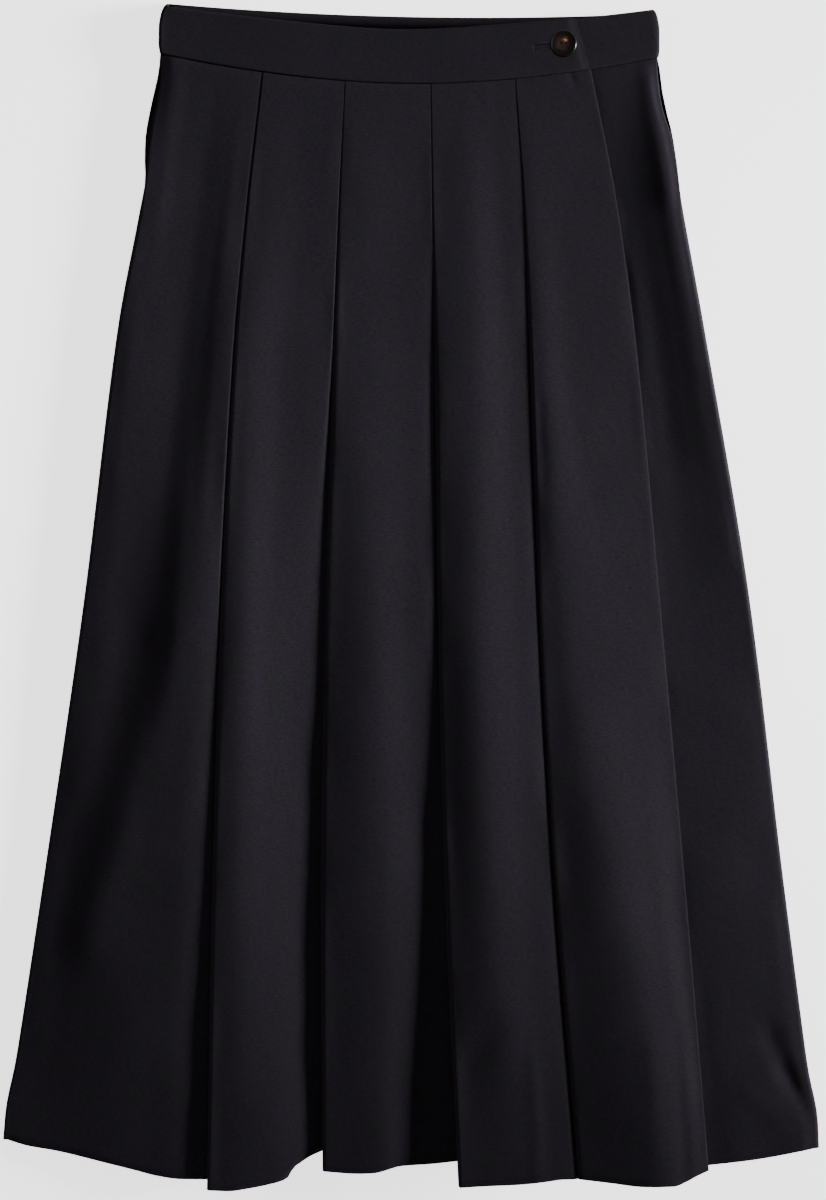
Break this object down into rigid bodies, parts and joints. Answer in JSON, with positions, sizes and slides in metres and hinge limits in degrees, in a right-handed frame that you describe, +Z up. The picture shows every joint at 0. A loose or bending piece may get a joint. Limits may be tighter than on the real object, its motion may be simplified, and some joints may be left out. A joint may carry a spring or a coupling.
{
  "type": "pleated wrap kilt skirt",
  "caption": "Black midi wrap kilt skirt laid flat, with left-facing knife pleats, a curved waistband, side pockets and one horn-effect button.",
  "frame": {"origin": "on the surface the skirt lies on, under the middle of its length and width", "axes": "+Z up from the surface, +Y from the hem towards the waist, +X towards the wearer's left, which is the viewer's right"},
  "size_m": [0.5814, 0.8466, 0.0285],
  "materials": {
    "skirt_cloth": "matt black suiting twill with a faint sheen",
    "band_cloth": "the same black suiting twill, folded over a stiffening",
    "pocket_cloth": "plain black pocket lining",
    "button_horn": "dark horn effect, satin, with a dished face",
    "sewing_thread": "black button thread"
  },
  "bodies": {
    "root": {"over_apron": "skirt_cloth", "under_apron": "skirt_cloth", "back_panel": "skirt_cloth", "waistband": "band_cloth", "pocket_bag_left": "pocket_cloth", "pocket_bag_right": "pocket_cloth", "button": "button_horn", "button_thread": "sewing_thread"}
  },
  "joints": []
}
